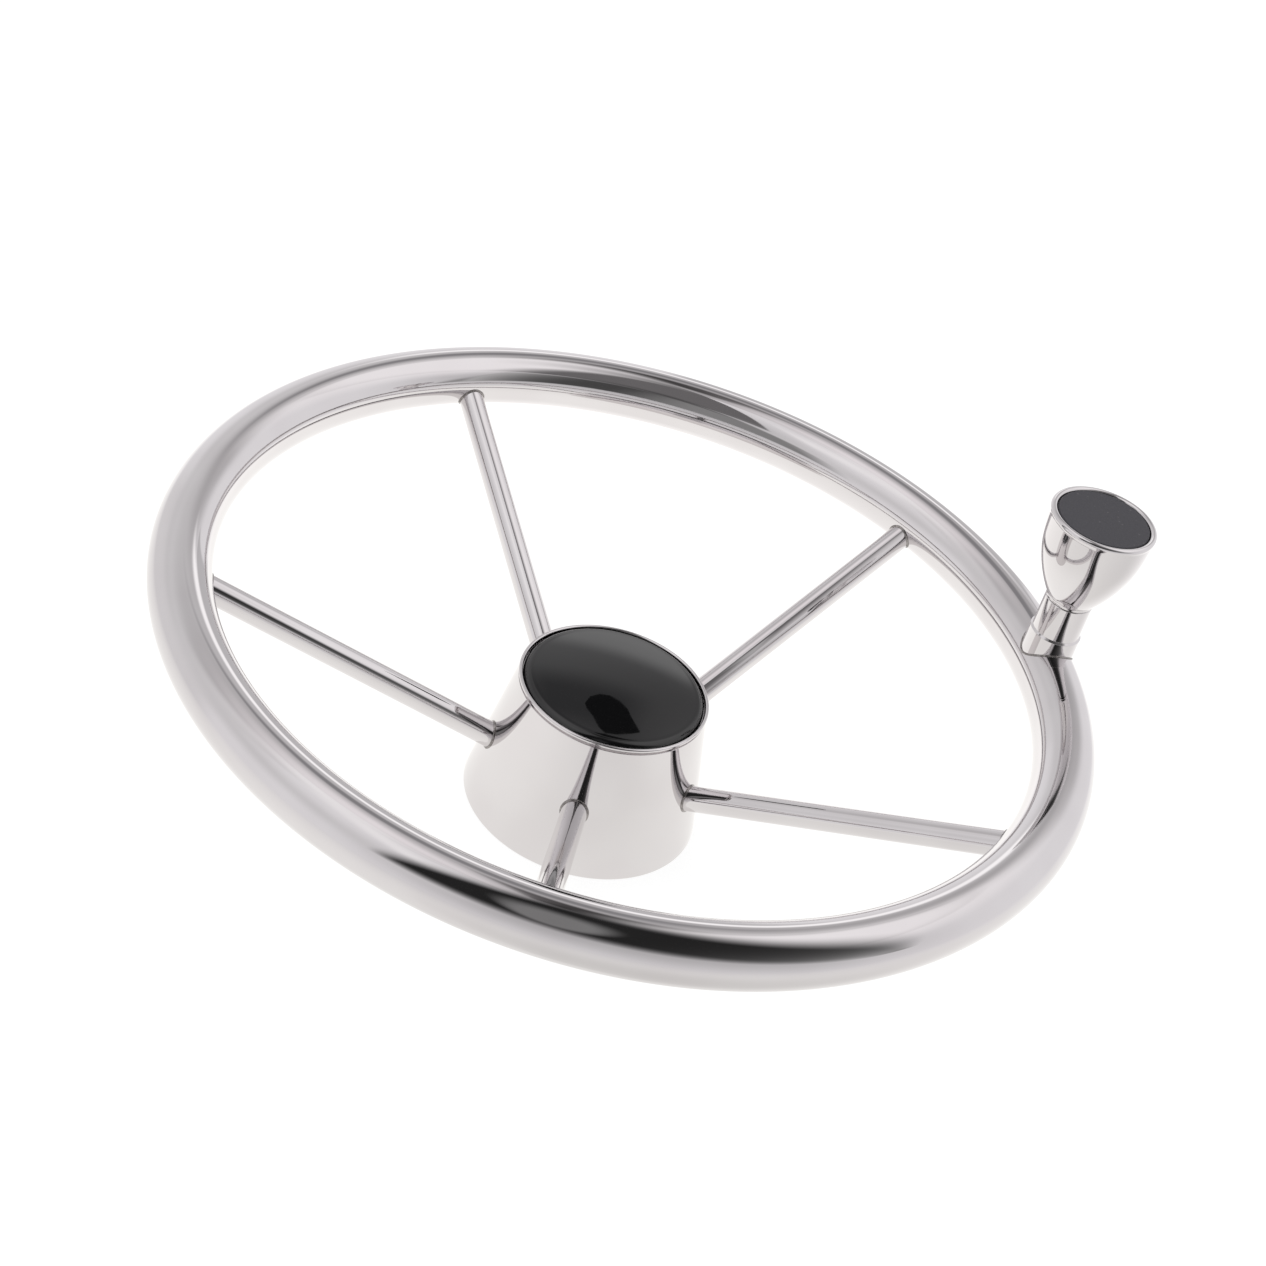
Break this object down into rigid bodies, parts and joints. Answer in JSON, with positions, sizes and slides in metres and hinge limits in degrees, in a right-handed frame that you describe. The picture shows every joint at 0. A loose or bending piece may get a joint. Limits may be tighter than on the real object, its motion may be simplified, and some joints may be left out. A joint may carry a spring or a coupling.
{
  "type": "stainless boat steering wheel",
  "caption": "Dished marine steering wheel with a round tube rim, rod spokes, a conical hub for a tapered shaft, a black centre cap and a free-turning knob.",
  "frame": {"origin": "centre of the hub's back face, on the shaft's axis", "axes": "+Z along the shaft towards the helmsman, -Y along one spoke, the knob at 22 degrees from +X towards +Y"},
  "size_m": [0.343, 0.343, 0.1486],
  "materials": {
    "polished_steel": "mirror polished stainless steel",
    "machined_steel": "turned stainless steel",
    "gloss_black": "moulded, high gloss",
    "matte_black": "moulded, fine matte",
    "seal_rubber": "smooth",
    "bush_plastic": "machined acetal",
    "cast_alloy": "as cast"
  },
  "bodies": {
    "wheel": {"rim_tube": "polished_steel", "spoke_1": "polished_steel", "spoke_2": "polished_steel", "spoke_3": "polished_steel", "spoke_4": "polished_steel", "spoke_5": "polished_steel", "hub_shell": "polished_steel", "hub_boss": "machined_steel", "hub_back_plate": "machined_steel", "shaft_washer": "machined_steel", "shaft_nut": "machined_steel", "knob_stem": "polished_steel", "knob_screw": "machined_steel", "screw_washer": "machined_steel"},
    "knob": {"knob_shell": "polished_steel", "knob_core": "cast_alloy", "knob_disc": "matte_black", "knob_lower_bush": "bush_plastic", "knob_upper_bush": "bush_plastic"},
    "cap": {"centre_cap": "gloss_black", "cap_ring": "seal_rubber"}
  },
  "joints": [
    {"name": "knob_spin", "type": "hinge", "parent": "wheel", "child": "knob", "pos_m": [0.14872, 0.06009, 0.112], "axis": [0, 0, 1], "continuous": true},
    {"name": "cap_lift", "type": "slide", "parent": "wheel", "child": "cap", "axis": [0, 0, 1], "range_m": [0, 0.03]}
  ]
}
